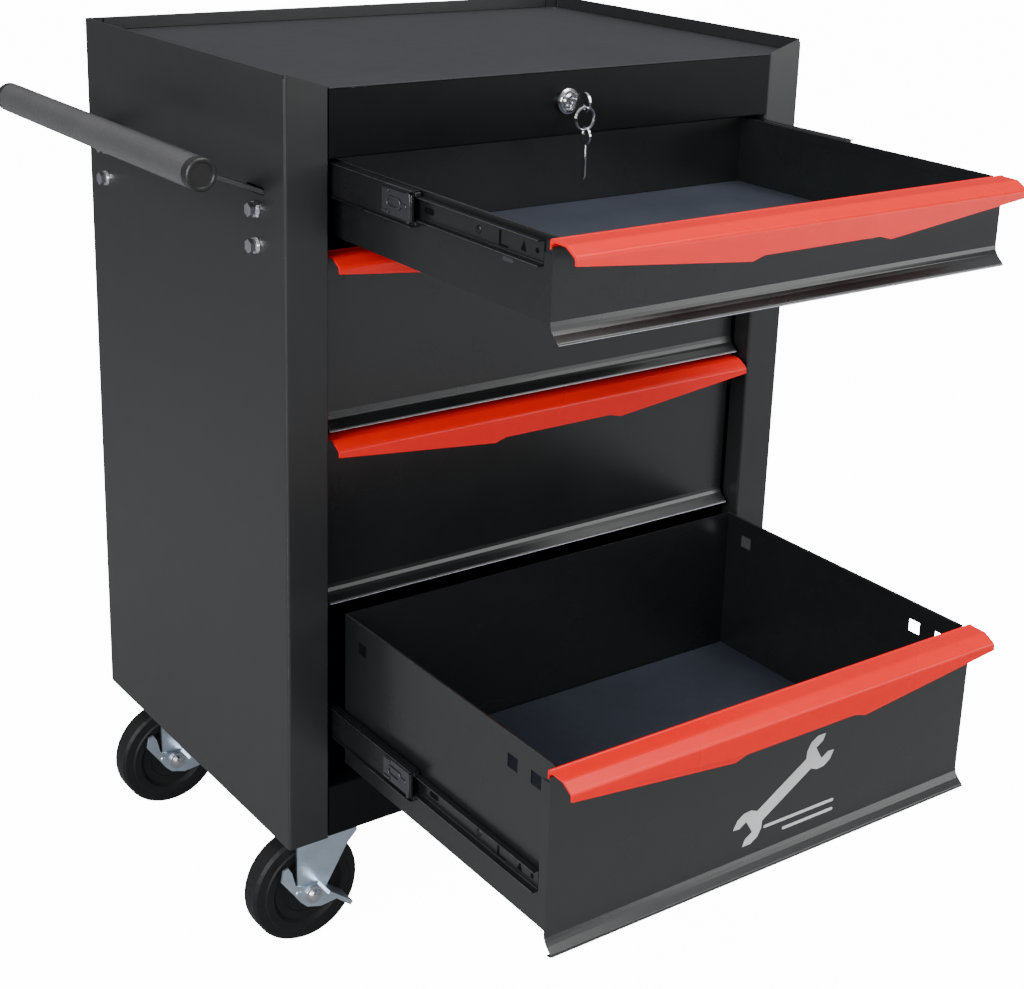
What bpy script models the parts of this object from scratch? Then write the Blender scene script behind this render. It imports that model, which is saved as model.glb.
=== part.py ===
"""Rolling tool chest with four drawers, a push handle and four casters, as separate sheet-metal pieces.

Lengths are in millimetres of the cabinet's own frame and become metres when a mesh is made: X runs from
the outer face of the left side panel to the right, Y from the face of the front posts to the back, and Z
up from the bottom edge of the side panels.
"""

import math

import bpy
from mathutils import Vector

for item in list(bpy.data.objects):
    bpy.data.objects.remove(item, do_unlink=True)

# Driving dimensions
WIDTH = 510.0
DEPTH = 355.0
HEIGHT = 634.0
SHEET = 1.0
GAP = 0.3
RIM = 11.0
POST = 37.0
OPENING_TOP = 570.0
RAIL_TOP = 47.0
RAIL_BOTTOM = 1.0

FRONT_LEFT = 43.0
FRONT_RECESS = 18.0
BOX_LEFT = 49.7
BOX_WALL = 1.0
BOX_LENGTH = 284.0
BOX_RAISE = 10.5
LIP_OUT = 9.5
LOWEST_LIP = 58.0
PITCH = 146.5
DEEP_FRONT = 144.5
SHALLOW_FRONT = 69.5
DEEP_SLIDE = 47.5
SHALLOW_SLIDE = 56.5
DRAWER_OPEN = {1: 286.0, 2: 0.0, 3: 0.0, 4: 306.0}

PULL_SHEET = 1.6
PULL_OUT = 25.0
APRON_END = 12.0
APRON_WIDE = 26.5
APRON_MIDDLE = 23.5

SLIDE_START = 34.0
SLIDE_LENGTH = 300.0
UPRIGHTS = ((64.0, 90.0), (262.0, 292.0))

WHEEL_RADIUS = 50.0
WHEEL_WIDTH = 28.0
AXLE_DROP = 66.0
CASTER_IN = 59.0
CASTER_TRAIL = 24.0
FRONT_CASTER = 45.0
REAR_CASTER = DEPTH - 46.0
PLATE_TOP = RAIL_BOTTOM - GAP
PLATE_SHEET = 3.0

TUBE_RADIUS = 12.25
TUBE_LENGTH = 368.0
TUBE_OUT = 67.0
TUBE_UP = HEIGHT - 65.0
ARM_WIDTH = 25.0
ARM_SHEET = 3.0
ARM_SLOT = HEIGHT - 91.0
ARM_FRONT = 45.0
ARM_REAR = DEPTH - 34.0
BOLT_UPPER = HEIGHT - 106.0
BOLT_LOWER = HEIGHT - 134.0

LOCK_UP = 598.0
LOCK_X = WIDTH / 2
ROD_END = 318.0
BOLT_STROKE = 12.0

# The object's frame: the middle of its footprint, on the floor
LEFT_MOST = -(TUBE_OUT + TUBE_RADIUS)
FRONT_MOST = FRONT_RECESS - DRAWER_OPEN[4] - PULL_OUT - 1.4
CENTRE_X = (LEFT_MOST + WIDTH) / 2
CENTRE_Y = (FRONT_MOST + DEPTH) / 2
LIFT = WHEEL_RADIUS + AXLE_DROP

ARC_STEP = math.radians(24)
BLACK = (0.028, 0.030, 0.033)
GREY = (0.075, 0.078, 0.085)

frame = bpy.data.objects.new("chest_frame", None)
frame.location = (-CENTRE_X / 1000, -CENTRE_Y / 1000, LIFT / 1000)
bpy.context.scene.collection.objects.link(frame)


# Outlines

def rounded(path):
    """A folded line with its corners rounded; each point of the path is (u, v, corner radius)."""
    line = []
    last = len(path) - 1
    for i, (u, v, radius) in enumerate(path):
        corner = Vector((u, v))
        if radius == 0 or i in (0, last):
            line.append(corner)
            continue
        back = (Vector(path[i - 1][:2]) - corner).normalized()
        ahead = (Vector(path[i + 1][:2]) - corner).normalized()
        half = back.angle(ahead) / 2
        centre = corner + (back + ahead).normalized() * (radius / math.sin(half))
        start = corner + back * (radius / math.tan(half)) - centre
        turn = math.pi - 2 * half
        if back.x * ahead.y - back.y * ahead.x > 0:
            turn = -turn
        steps = max(2, math.ceil(abs(turn) / ARC_STEP))
        for k in range(steps + 1):
            angle = turn * k / steps
            line.append(centre + Vector((
                start.x * math.cos(angle) - start.y * math.sin(angle),
                start.x * math.sin(angle) + start.y * math.cos(angle),
            )))
    return line


def folded(path, thickness):
    """The outline of a folded sheet whose middle line is the path."""
    line = rounded(path)
    left = []
    right = []
    for i, point in enumerate(line):
        before = (point - line[i - 1]).normalized() if i > 0 else None
        after = (line[i + 1] - point).normalized() if i < len(line) - 1 else None
        along = (before or after) + (after or before)
        along.normalize()
        side = Vector((-along.y, along.x))
        scale = 1.0
        if before and after:
            scale = 1.0 / max(0.3, side.dot(Vector((-after.y, after.x))))
        left.append(point + side * (thickness / 2 * scale))
        right.append(point - side * (thickness / 2 * scale))
    return [tuple(p) for p in left + right[::-1]]


def circle(u, v, radius, count):
    """A regular outline round a centre, corners on the circle."""
    outline = []
    for i in range(count):
        angle = math.tau * (i + 0.5) / count
        outline.append((u + radius * math.cos(angle), v + radius * math.sin(angle)))
    return outline


def slot(u, v, length, height, count=6):
    """A long hole with round ends, its length along u."""
    radius = height / 2
    reach = length / 2 - radius
    outline = []
    for sign in (1, -1):
        for i in range(count + 1):
            angle = math.pi * (i / count - 0.5)
            along = reach + radius * math.cos(angle)
            outline.append((u + sign * along, v + sign * radius * math.sin(angle)))
    return outline


# Solids: each is (points, faces) in millimetres of the cabinet's frame

def prism(outline, axis, low, high):
    """An outline drawn across an axis and carried from low to high along it."""
    area = sum(
        outline[i - 1][0] * outline[i][1] - outline[i][0] * outline[i - 1][1] for i in range(len(outline))
    )
    if area < 0:
        outline = outline[::-1]
    place = {
        "X": lambda u, v, w: (w, u, v),
        "Y": lambda u, v, w: (u, w, v),
        "Z": lambda u, v, w: (u, v, w),
    }[axis]
    count = len(outline)
    points = [place(u, v, low) for u, v in outline] + [place(u, v, high) for u, v in outline]
    faces = [tuple(range(count))[::-1], tuple(range(count, 2 * count))]
    for i in range(count):
        j = (i + 1) % count
        faces.append((i, j, j + count, i + count))
    if axis == "Y":
        faces = [face[::-1] for face in faces]
    return points, faces


def block(low, high):
    """A plain block between two corners."""
    outline = [(low[0], low[1]), (high[0], low[1]), (high[0], high[1]), (low[0], high[1])]
    return prism(outline, "Z", low[2], high[2])


def lathe(profile, axis, centre, count):
    """A closed (along, radius) profile turned about an axis through the centre."""
    area = sum(
        profile[i - 1][0] * profile[i][1] - profile[i][0] * profile[i - 1][1] for i in range(len(profile))
    )
    if area < 0:
        profile = profile[::-1]
    frames = {
        "X": (Vector((1, 0, 0)), Vector((0, 1, 0)), Vector((0, 0, 1))),
        "Y": (Vector((0, 1, 0)), Vector((0, 0, 1)), Vector((1, 0, 0))),
        "Z": (Vector((0, 0, 1)), Vector((1, 0, 0)), Vector((0, 1, 0))),
    }
    ahead, first, second = frames[axis]
    middle = Vector(centre)
    points = []
    rings = []
    for along, radius in profile:
        if radius == 0:
            rings.append([len(points)] * count)
            points.append(tuple(middle + ahead * along))
            continue
        ring = []
        for i in range(count):
            angle = math.tau * (i + 0.5) / count
            spot = middle + ahead * along + (first * math.cos(angle) + second * math.sin(angle)) * radius
            ring.append(len(points))
            points.append(tuple(spot))
        rings.append(ring)
    faces = []
    for i, ring in enumerate(rings):
        after = rings[(i + 1) % len(rings)]
        if ring[0] == ring[-1] and after[0] == after[-1]:
            continue
        for k in range(count):
            m = (k + 1) % count
            face = (ring[k], ring[m], after[m], after[k])
            face = tuple(dict.fromkeys(face))
            faces.append(face[::-1])
    return points, faces


def mirrored(solid):
    """The same solid on the other side of the cabinet."""
    points, faces = solid
    return [(WIDTH - x, y, z) for x, y, z in points], [face[::-1] for face in faces]


def moved(solid, shift):
    """A solid carried by a shift."""
    points, faces = solid
    return [(x + shift[0], y + shift[1], z + shift[2]) for x, y, z in points], faces


# Nodes

def mesh_object(name, solid, origin):
    """One object whose mesh is measured from its own origin."""
    points, faces = solid
    mesh = bpy.data.meshes.new(name)
    mesh.from_pydata([tuple((p[i] - origin[i]) / 1000 for i in range(3)) for p in points], [], faces)
    mesh.validate()
    mesh.shade_smooth()
    mesh.set_sharp_from_angle(angle=math.radians(32))
    thing = bpy.data.objects.new(name, mesh)
    thing.location = [c / 1000 for c in origin]
    thing.parent = frame
    return thing


def node(name, solids, cuts=(), origin=(0, 0, 0), colour=BLACK, roughness=0.45, metallic=0.0):
    """A named piece: the solids joined, the cuts taken out, with its own paint."""
    thing = mesh_object(name, solids[0], origin)
    bpy.context.scene.collection.objects.link(thing)
    paint = bpy.data.materials.new(name + "_finish")
    paint.use_nodes = True
    shader = paint.node_tree.nodes["Principled BSDF"]
    shader.inputs["Base Color"].default_value = (*colour, 1)
    shader.inputs["Roughness"].default_value = roughness
    shader.inputs["Metallic"].default_value = metallic
    thing.data.materials.append(paint)
    for operation, others in (("UNION", solids[1:]), ("DIFFERENCE", cuts)):
        for i, solid in enumerate(others):
            helper = mesh_object(f"{name}_{operation.lower()}_{i}", solid, origin)
            helper.hide_render = True
            helper.display_type = "WIRE"
            bpy.context.scene.collection.objects.link(helper)
            step = thing.modifiers.new(operation.title(), "BOOLEAN")
            step.operation = operation
            step.object = helper
            step.solver = "EXACT"
    return thing


def both(solids, right):
    """The solids as drawn for the left, or mirrored for the right."""
    return [mirrored(solid) for solid in solids] if right else list(solids)


# Cabinet shell

def side_panel(right):
    """Side wall folded round the front corner into the post, with a hemmed rim and a flange at the back."""
    plan = [
        (15.0, DEPTH - 1.8, 0),
        (SHEET / 2, DEPTH - 1.8, 1.2),
        (SHEET / 2, SHEET / 2, 2.0),
        (POST - SHEET / 2, SHEET / 2, 1.5),
        (POST - SHEET / 2, 20.0, 0),
    ]
    solids = [
        prism(folded(plan, SHEET), "Z", 0.0, HEIGHT),
        block((0.4, 4.0, HEIGHT - RIM + GAP), (2.2, DEPTH - 4.0, HEIGHT - 0.2)),
    ]
    slope = [(3.0, HEIGHT), (POST + 1, HEIGHT - RIM), (POST + 1, HEIGHT + 4), (3.0, HEIGHT + 4)]
    cuts = [
        prism(slope, "Y", -2.0, 3.0),
        block((-1.0, -1.0, HEIGHT - 2.5), (2.6, 2.8, HEIGHT + 2)),
        block((2.9, 1.4, HEIGHT - RIM - 1.5), (POST + 2, 22.0, HEIGHT + 2)),
        block((33.0, 1.4, -2.0), (POST + 2, 22.0, 3.4)),
    ]
    if not right:
        for centre in (ARM_FRONT, ARM_REAR):
            cuts.append(prism(slot(centre, ARM_SLOT + 0.3, 30.0, 6.2), "X", -2.0, 3.0))
            for height in (BOLT_UPPER, BOLT_LOWER):
                cuts.append(prism(circle(centre, height, 3.6, 16), "X", -2.0, 3.0))
    name = "side_panel_right" if right else "side_panel_left"
    node(name, both(solids, right), both(cuts, right), colour=BLACK, roughness=0.4)


for right in (False, True):
    side_panel(right)

back_hem = block((16.5, DEPTH - 2.2, HEIGHT - RIM + GAP), (WIDTH - 16.5, DEPTH - 0.4, HEIGHT - 0.2))
node(
    "back_panel",
    [block((0.5, DEPTH - SHEET, 0.5), (WIDTH - 0.5, DEPTH, HEIGHT)), back_hem],
    roughness=0.4,
)

inset = POST + GAP
plate_front = 2.6
pan_back = DEPTH - 2.6
pan_outline = [
    (1.3, plate_front),
    (inset, plate_front),
    (inset, 0.0),
    (WIDTH - inset, 0.0),
    (WIDTH - inset, plate_front),
    (WIDTH - 1.3, plate_front),
    (WIDTH - 1.3, pan_back),
    (1.3, pan_back),
]
tray_low = HEIGHT - RIM - SHEET
tray = [prism(pan_outline, "Z", tray_low, HEIGHT - RIM)]
tray_flange = block((1.3, 8.0, tray_low - 15), (2.3, DEPTH - 12, tray_low + 0.5))
for right in (False, True):
    tray += both([tray_flange], right)
rivet_holes = [
    prism(circle(x, DEPTH - 14, 1.6, 12), "Z", tray_low - 2, HEIGHT) for x in (14.0, WIDTH - 14.0)
]
node("top_panel", tray, rivet_holes, colour=GREY, roughness=0.5)

header_profile = [(0.5, tray_low - GAP, 0), (0.5, OPENING_TOP + 0.5, 1.2), (18.0, OPENING_TOP + 0.5, 0)]
header = [prism(folded(header_profile, SHEET), "X", inset, WIDTH - inset)]
header_end = block((inset, 0.4, OPENING_TOP + 0.6), (inset + SHEET, 14.0, tray_low - 2))
for right in (False, True):
    header += both([header_end], right)
lock_hole = prism(circle(LOCK_X, LOCK_UP, 9.4, 28), "Y", -2.0, 4.0)
node("header_panel", header, [lock_hole])

floor_outline = [p if p[1] != 0.0 else (p[0], 0.6) for p in pan_outline]
floor_outline = [p if p[1] != pan_back else (p[0], pan_back - 1) for p in floor_outline]
rail_profile = [
    (22.0, RAIL_TOP - 0.5, 0),
    (0.5, RAIL_TOP - 0.5, 1.2),
    (0.5, RAIL_BOTTOM + 0.5, 1.2),
    (9.0, RAIL_BOTTOM + 0.5, 0),
]
bottom = [
    prism(floor_outline, "Z", RAIL_BOTTOM, RAIL_BOTTOM + SHEET),
    prism(folded(rail_profile, SHEET), "X", inset, WIDTH - inset),
    block((16.0, pan_back - 2.1, RAIL_BOTTOM + 0.4), (WIDTH - 16.0, pan_back - 1.1, 18.0)),
]
bottom_sides = [
    block((1.3, 8.0, RAIL_BOTTOM + 0.4), (2.3, DEPTH - 12, 15.0)),
    block((inset, 0.4, RAIL_BOTTOM + 0.4), (inset + SHEET, 14.0, RAIL_TOP - 0.4)),
]
for right in (False, True):
    bottom += both(bottom_sides, right)
node("bottom_panel", bottom, roughness=0.5)


# Slides

def lip_height(number):
    """Height of a drawer front's lowest edge."""
    return LOWEST_LIP + PITCH * (4 - number)


def front_height(number):
    """Height of a drawer front with its pull."""
    return SHALLOW_FRONT if number == 1 else DEEP_FRONT


def slide_height(number):
    """Height of a drawer's slides."""
    return lip_height(number) + (SHALLOW_SLIDE if number == 1 else DEEP_SLIDE)


def channel(web, edge, half, height, low, high):
    """A slide member: an upright web with a flange above and below."""
    path = [
        (edge, height + half - 0.5, 0),
        (web, height + half - 0.5, 1.0),
        (web, height - half + 0.5, 1.0),
        (edge, height - half + 0.5, 0),
    ]
    return prism(folded(path, SHEET), "Y", low, high)


for right in (False, True):
    rack = []
    for front, back in UPRIGHTS:
        plan = [
            (2.7, front + 0.5, 0),
            (POST - 0.35, front + 0.5, 1.2),
            (POST - 0.35, back - 0.5, 1.2),
            (2.7, back - 0.5, 0),
        ]
        rack.append(prism(folded(plan, SHEET), "Z", 3.0, HEIGHT - 32))
    for number in (1, 2, 3, 4):
        rack.append(channel(37.5, 47.0, 17.5, slide_height(number), SLIDE_START, SLIDE_START + SLIDE_LENGTH))
    name = "slide_rack_right" if right else "slide_rack_left"
    node(name, both(rack, right), roughness=0.35, metallic=0.3)


# Drawers: drawn with the front's outer face at Y 0 and its lowest edge at Z 0

def drawer(number):
    """A drawer: its box with the flared front and slide members, pull, liner and middle slide members."""
    high = front_height(number)
    slide = SHALLOW_SLIDE if number == 1 else DEEP_SLIDE
    out = DRAWER_OPEN[number]
    base = (0, FRONT_RECESS - out, lip_height(number))

    def place(solids):
        return [moved(solid, base) for solid in solids]

    front_profile = [
        (0.5, high - 4.9, 0),
        (0.5, 10.5, 11.0),
        (-LIP_OUT, 1.9, 1.2),
        (-3.6, 0.6, 0),
    ]
    box_right = WIDTH - BOX_LEFT
    solids = [
        block((BOX_LEFT, 0.5, BOX_RAISE), (box_right, BOX_LENGTH, high)),
        prism(folded(front_profile, SHEET), "X", FRONT_LEFT, WIDTH - FRONT_LEFT),
    ]
    wall_pieces = [
        block((BOX_LEFT + 0.4, 8.0, high - 7.5), (BOX_LEFT + 2.1, BOX_LENGTH - 0.4, high - 0.2)),
        block((FRONT_LEFT, 0.4, 18.0), (FRONT_LEFT + 1, 9.0, high - 9.6)),
        channel(49.25, 44.0, 8.75, slide, 17.0, BOX_LENGTH - 2),
    ]
    hollow = block(
        (BOX_LEFT + BOX_WALL, 0.9, BOX_RAISE + BOX_WALL),
        (box_right - BOX_WALL, BOX_LENGTH - BOX_WALL, high + 5),
    )
    shell_cuts = [
        block((BOX_LEFT - 2, -3.0, high - 4.8), (box_right + 2, 4.4, high + 6)),
        block((BOX_LEFT - 2, 1.4, high - 9.6), (box_right + 2, 4.5, high + 6)),
    ]
    for right in (False, True):
        solids += both(wall_pieces, right)
    if number == 4:
        for low in (19.0, 47.0, BOX_LENGTH - 32):
            shell_cuts.append(block((BOX_LEFT - 2, low, high - 27), (box_right + 2, low + 12, high - 16)))
    # The hollow comes out of the block before the other pieces are joined to it
    tray_walls = hollow_box(solids[0], hollow)
    node(
        f"drawer_box_{number}",
        place(solids[1:] + [tray_walls]),
        place(shell_cuts),
        origin=base,
        colour=(0.030, 0.032, 0.034),
        roughness=0.4,
    )

    pull_path = [
        (2.6, -7.0, 0),
        (2.6, -1.0, 1.4),
        (-13.2, -1.5, 4.5),
        (-(PULL_OUT - 2), -7.0, 3.2),
        (-(PULL_OUT + 0.6), -APRON_WIDE - 2, 0),
    ]
    left = FRONT_LEFT
    wide = 0.345 * (WIDTH - 2 * left)
    step = 0.371 * (WIDTH - 2 * left)
    apron = [
        (left - 2, -APRON_END + 0.2),
        (left + wide, -APRON_WIDE),
        (left + step, -APRON_MIDDLE),
        (WIDTH - left - step, -APRON_MIDDLE),
        (WIDTH - left - wide, -APRON_WIDE),
        (WIDTH - left + 2, -APRON_END + 0.2),
        (WIDTH - left + 2, -45.0),
        (left - 2, -45.0),
    ]
    pull_base = (0, base[1], base[2] + high)
    pull = [
        prism(folded(pull_path, PULL_SHEET), "X", left, WIDTH - left),
        prism(circle(1.6, -1.75, 2.0, 12), "X", left + 0.2, WIDTH - left - 0.2),
    ]
    node(
        f"drawer_pull_{number}",
        [moved(solid, pull_base) for solid in pull],
        [moved(prism(apron, "Y", -40.0, -15.0), pull_base)],
        origin=pull_base,
        colour=(0.80, 0.035, 0.025),
        roughness=0.25,
    )

    floor_up = BOX_RAISE + BOX_WALL + GAP
    liner = block((BOX_LEFT + 1.4, 3.0, floor_up), (box_right - 1.4, BOX_LENGTH - 2.0, floor_up + 1.8))
    node(f"drawer_liner_{number}", place([liner]), origin=base, colour=(0.030, 0.032, 0.045), roughness=0.8)

    start = SLIDE_START + 1 - out / 2
    middle_base = (0, start, slide_height(number))
    for right in (False, True):
        member = channel(42.0, 47.5, 13.0, middle_base[2], start, start + SLIDE_LENGTH - 2)
        side = "right" if right else "left"
        node(
            f"slide_mid_{side}_{number}",
            both([member], right),
            origin=middle_base,
            roughness=0.35,
            metallic=0.3,
        )


def hollow_box(outer, inner):
    """A box open at the top, as one solid: the inner block's floor and walls inside the outer block."""
    low = [min(p[i] for p in outer[0]) for i in range(3)]
    top = [max(p[i] for p in outer[0]) for i in range(3)]
    in_low = [min(p[i] for p in inner[0]) for i in range(3)]
    in_top = [max(p[i] for p in inner[0]) for i in range(3)]
    rings = (
        (low[0], top[0], low[1], top[1], low[2]),
        (low[0], top[0], low[1], top[1], top[2]),
        (in_low[0], in_top[0], in_low[1], in_top[1], top[2]),
        (in_low[0], in_top[0], in_low[1], in_top[1], in_low[2]),
    )
    points = []
    for x0, x1, y0, y1, z in rings:
        points += [(x0, y0, z), (x1, y0, z), (x1, y1, z), (x0, y1, z)]
    faces = [(3, 2, 1, 0), (12, 13, 14, 15)]
    for ring in (0, 4, 8):
        for i in range(4):
            j = (i + 1) % 4
            faces.append((ring + i, ring + j, ring + j + 4, ring + i + 4))
    return points, faces


for number in (1, 2, 3, 4):
    drawer(number)


# Casters

def wheel(name, x, y):
    """A rubber wheel with recessed faces and a hub, bored for its axle."""
    half = WHEEL_WIDTH / 2
    side = [
        (half - 0.6, 4.08),
        (half - 0.6, 11.0),
        (half - 4.0, 13.0),
        (half - 4.0, 30.0),
        (half - 0.8, 33.0),
        (half - 0.8, 39.5),
        (half - 2.0, 40.8),
        (half - 3.0, WHEEL_RADIUS - 2.0),
        (half - 6.0, WHEEL_RADIUS),
    ]
    profile = side + [(-along, radius) for along, radius in side[::-1]]
    centre = (x, y, -AXLE_DROP)
    node(name, [lathe(profile, "Y", centre, 40)], origin=centre, colour=(0.02, 0.02, 0.021), roughness=0.6)


def axle(name, x, y, near, far):
    """An axle rivet with a washer and a domed head at each end."""
    centre = (x, y, -AXLE_DROP)
    dome = [(5.0, 0), (4.7, 2.1), (3.9, 4.0), (2.8, 5.3), (1.4, 6.0), (1.4, 8.4), (0.0, 8.4)]
    profile = [(-near - along, radius) for along, radius in dome]
    profile += [(-near, 4.0), (far, 4.0)]
    profile += [(far + along, radius) for along, radius in dome[::-1]]
    rivet = lathe(profile, "Y", centre, 20)
    node(name, [rivet], origin=centre, colour=(0.62, 0.63, 0.65), roughness=0.3, metallic=1.0)


def fork_leg(x, y_low, y_high):
    """One flat leg of the fork beside the wheel, wide at the top and narrow round the axle."""
    outline = [
        (x - 14.0, -11.0),
        (x + 44.0, -11.0),
        (x + 44.0, -20.0),
        (x + 34.0, -30.0),
        (x + 9.6, -AXLE_DROP - 5.0),
        (x + 4.5, -AXLE_DROP - 9.4),
        (x - 3.0, -AXLE_DROP - 10.4),
        (x - 9.5, -AXLE_DROP - 6.6),
        (x - 13.4, -AXLE_DROP + 3.0),
        (x - 14.4, -AXLE_DROP + 22.0),
    ]
    return prism(outline, "Y", y_low, y_high)


def swivel_caster(tag, y):
    """A braked caster turning about its kingpin, its wheel trailing to the left."""
    axis_x = CASTER_IN
    x = CASTER_IN - CASTER_TRAIL
    plate_low = PLATE_TOP - PLATE_SHEET
    pin = lathe(
        [(plate_low + 1, 0), (plate_low + 1, 5.1), (-13.6, 5.1), (-13.6, 8.0), (-16.0, 8.0), (-16.0, 0)],
        "Z", (axis_x, y, 0), 20,
    )
    plate = block((axis_x - 37, y - 31, plate_low), (axis_x + 37, y + 31, PLATE_TOP))
    holes = []
    for dx in (-28.0, 28.0):
        for dy in (-23.0, 23.0):
            holes.append(prism(slot(axis_x + dx, y + dy, 10.0, 6.5, 4), "Z", plate_low - 2, PLATE_TOP + 2))
    steel = {"colour": (0.55, 0.57, 0.60), "roughness": 0.35, "metallic": 1.0}
    node(f"caster_plate_{tag}", [plate, pin], holes, origin=(axis_x, y, plate_low), **steel)

    crown_top = plate_low - 7.6
    half = WHEEL_WIDTH / 2 + 3.5
    cup = lathe(
        [
            (crown_top - 1.4, 3.0),
            (crown_top - 1.4, 22.0),
            (crown_top + 1.5, 26.0),
            (plate_low - 1.2, 26.0),
            (plate_low - 0.4, 25.0),
            (plate_low - 0.4, 3.0),
        ],
        "Z", (axis_x, y, 0), 32,
    )
    crown = block((x - 14.0, y - half - 2.5, -13.2), (x + 44.0, y + half + 2.5, -10.7))
    fork = [
        crown,
        fork_leg(x, y - half - 2.5, y - half),
        fork_leg(x, y + half, y + half + 2.5),
        cup,
    ]
    cuts = [
        prism(circle(x, -AXLE_DROP, 4.4, 20), "Y", y - half - 5, y + half + 5),
        prism(circle(axis_x, y, 5.2, 20), "Z", -20.0, 0.0),
    ]
    node(f"caster_fork_{tag}", fork, cuts, origin=(axis_x, y, -AXLE_DROP), **steel)
    wheel(f"caster_wheel_{tag}", x, y)
    axle(f"caster_axle_{tag}", x, y, half + 5.4, half + 2.9)

    outer = y - half - 2.5 - GAP
    lever_outline = [
        (-28.5, 31.5), (-24.0, 33.0), (-20.5, 27.0), (-17.0, 13.0), (-9.0, 9.5), (6.0, 9.0), (20.0, -2.0),
        (27.0, -8.5), (25.5, -12.0), (21.5, -13.0), (7.0, -14.5), (-6.0, -10.5), (-12.5, -4.0),
        (-18.0, 4.0), (-30.5, 21.0),
    ]
    plate_side = prism([(x + u, -AXLE_DROP + v) for u, v in lever_outline], "Y", outer - 2.2, outer)
    tread_outline = [(4.0, 8.0), (6.0, 10.3), (28.6, -7.2), (26.0, -10.4)]
    tread = prism([(x + u, -AXLE_DROP + v) for u, v in tread_outline], "Y", outer - 20.0, outer - 0.4)
    node(
        f"brake_lever_{tag}",
        [plate_side, tread],
        [prism(circle(x, -AXLE_DROP, 4.15, 20), "Y", outer - 5, outer + 3)],
        origin=(x, y, -AXLE_DROP),
        **steel,
    )


def rigid_caster(tag, y):
    """A fixed caster: one bent bracket, its wheel and its axle."""
    x = WIDTH - CASTER_IN
    half = WHEEL_WIDTH / 2 + 3.5
    plate_low = PLATE_TOP - PLATE_SHEET
    leg = [
        (x - 24.0, PLATE_TOP - 1.0),
        (x + 24.0, PLATE_TOP - 1.0),
        (x + 24.0, -14.0),
        (x + 11.0, -AXLE_DROP + 2),
        (x + 8.5, -AXLE_DROP - 6.5),
        (x, -AXLE_DROP - 10.5),
        (x - 8.5, -AXLE_DROP - 6.5),
        (x - 11.0, -AXLE_DROP + 2),
        (x - 24.0, -14.0),
    ]
    solids = [
        block((x - 37, y - 31, plate_low), (x + 37, y + 31, PLATE_TOP)),
        prism(leg, "Y", y - half - 2.5, y - half),
        prism(leg, "Y", y + half, y + half + 2.5),
    ]
    cuts = [prism(circle(x, -AXLE_DROP, 4.4, 20), "Y", y - half - 5, y + half + 5)]
    for dx in (-30.0, 30.0):
        for dy in (-23.0, 23.0):
            cuts.append(prism(slot(x + dx, y + dy, 8.0, 6.5, 4), "Z", plate_low - 2, PLATE_TOP + 2))
    node(
        f"caster_bracket_{tag}", solids, cuts,
        origin=(x, y, plate_low), colour=(0.55, 0.57, 0.60), roughness=0.35, metallic=1.0,
    )
    wheel(f"caster_wheel_{tag}", x, y)
    axle(f"caster_axle_{tag}", x, y, half + 2.9, half + 2.9)


for end, spot in (("front", FRONT_CASTER), ("rear", REAR_CASTER)):
    swivel_caster(f"left_{end}", spot)
    rigid_caster(f"right_{end}", spot)


# Push handle

tube_middle = (-TUBE_OUT, DEPTH / 2 + 3, TUBE_UP)
cap = 9.0
half_tube = TUBE_LENGTH / 2 - cap
tube_profile = [
    (-half_tube, TUBE_RADIUS - 1.2), (-half_tube, TUBE_RADIUS), (half_tube, TUBE_RADIUS),
    (half_tube, TUBE_RADIUS - 1.2),
]
node(
    "handle_tube", [lathe(tube_profile, "Y", tube_middle, 32)], origin=tube_middle,
    colour=(0.035, 0.036, 0.038), roughness=0.35,
)
for end, sign in (("front", -1), ("rear", 1)):
    profile = [
        (half_tube - 10, 0), (half_tube - 10, TUBE_RADIUS - 1.6), (half_tube + 0.4, TUBE_RADIUS - 1.6),
        (half_tube + 0.4, TUBE_RADIUS - 0.05), (half_tube + cap - 1.0, TUBE_RADIUS - 0.05),
        (half_tube + cap, TUBE_RADIUS - 1.0), (half_tube + cap, TUBE_RADIUS - 2.6),
        (half_tube + cap - 1.2, TUBE_RADIUS - 3.4), (half_tube + cap - 1.2, 0),
    ]
    node(
        f"handle_cap_{end}",
        [lathe([(sign * along, radius) for along, radius in profile], "Y", tube_middle, 32)],
        origin=(tube_middle[0], tube_middle[1] + sign * half_tube, tube_middle[2]),
        colour=(0.02, 0.02, 0.02), roughness=0.4,
    )

for end, y in (("front", ARM_FRONT), ("rear", ARM_REAR)):
    inner_x = SHEET + GAP + ARM_SHEET / 2
    arm_path = [
        (inner_x, BOLT_LOWER - 10, 0),
        (inner_x, ARM_SLOT - 0.8, 1.8),
        (-TUBE_OUT, TUBE_UP, 0),
    ]
    arm = prism(folded(arm_path, ARM_SHEET), "Y", y - ARM_WIDTH / 2, y + ARM_WIDTH / 2)
    cuts = [prism(circle(-TUBE_OUT, TUBE_UP, TUBE_RADIUS + GAP, 32), "Y", y - 20, y + 20)]
    for height in (BOLT_UPPER, BOLT_LOWER):
        cuts.append(prism(circle(y, height, 3.6, 16), "X", -1.0, 6.0))
    node(f"handle_arm_{end}", [arm], cuts, origin=(inner_x, y, ARM_SLOT), roughness=0.4)
    for tag, height in (("upper", BOLT_UPPER), ("lower", BOLT_LOWER)):
        spot = (0.0, y, height)
        shank = lathe(
            [(-2.3, 0), (-2.3, 6.2), (-0.3, 7.0), (-0.3, 3.0), (10.0, 3.0), (10.0, 0)], "X", spot, 24,
        )
        hexagon = prism(circle(y, height, 5.6, 6), "X", -7.0, -2.0)
        node(
            f"handle_bolt_{end}_{tag}", [shank, hexagon], origin=spot,
            colour=(0.66, 0.67, 0.69), roughness=0.25, metallic=1.0,
        )


# Lock

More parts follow.
